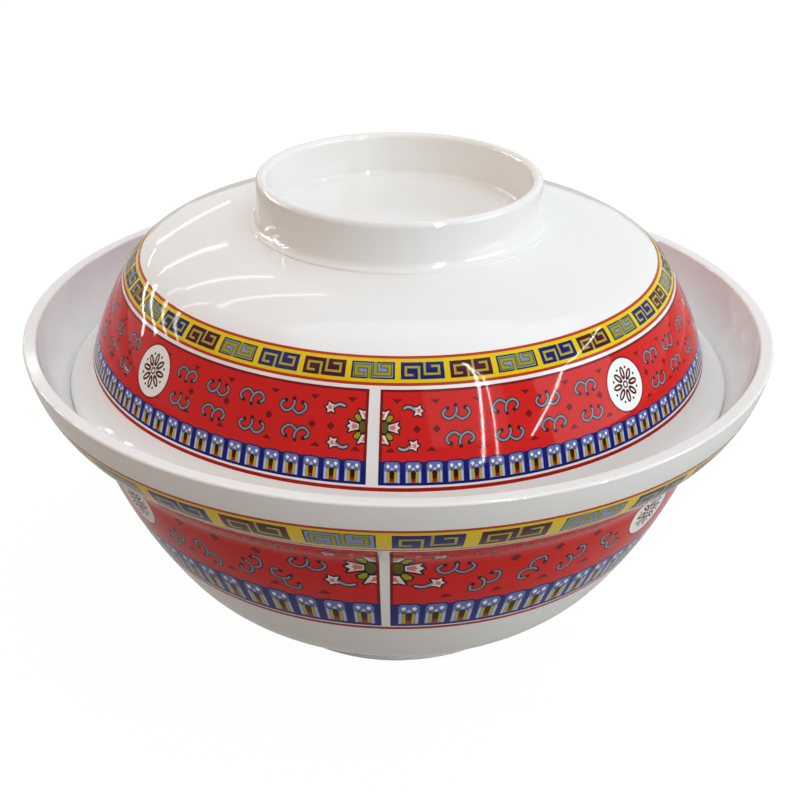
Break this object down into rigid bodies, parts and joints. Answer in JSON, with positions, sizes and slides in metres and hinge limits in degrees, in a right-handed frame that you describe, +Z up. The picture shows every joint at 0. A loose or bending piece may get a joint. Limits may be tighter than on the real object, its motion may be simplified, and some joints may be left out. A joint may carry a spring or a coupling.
{
  "type": "lidded rice bowl",
  "caption": "Glossy melamine rice bowl with a flared collar and a domed lid with a ring handle, both with printed fret bands and red panels pressed flush.",
  "frame": {"origin": "centre of the bowl's axis on the table, at the bottom of the foot ring", "axes": "+Z up along the axis of the bowl and lid, -Y the front seen in the picture, +X to the right"},
  "size_m": [0.178, 0.178, 0.1121],
  "materials": {
    "melamine": "glossy ivory white moulded melamine",
    "fret_print": "glossy printed foil, yellow with dark fret blocks",
    "panel_print": "glossy printed foil, red with flowers, scrolls and blue lappets",
    "line_print": "glossy printed foil, plain red"
  },
  "bodies": {
    "bowl": {"bowl_shell": "melamine", "bowl_fret_band": "fret_print", "bowl_panel_front_right": "panel_print", "bowl_panel_back_right": "panel_print", "bowl_panel_back_left": "panel_print", "bowl_panel_front_left": "panel_print", "bowl_border_line": "line_print"},
    "lid": {"lid_shell": "melamine", "lid_fret_band": "fret_print", "lid_panel_front_right": "panel_print", "lid_panel_back_right": "panel_print", "lid_panel_back_left": "panel_print", "lid_panel_front_left": "panel_print", "lid_border_line": "line_print"}
  },
  "joints": [
    {"name": "lid_lift", "type": "slide", "parent": "bowl", "child": "lid", "axis": [0, 0, 1], "range_m": [0, 0.12]}
  ]
}
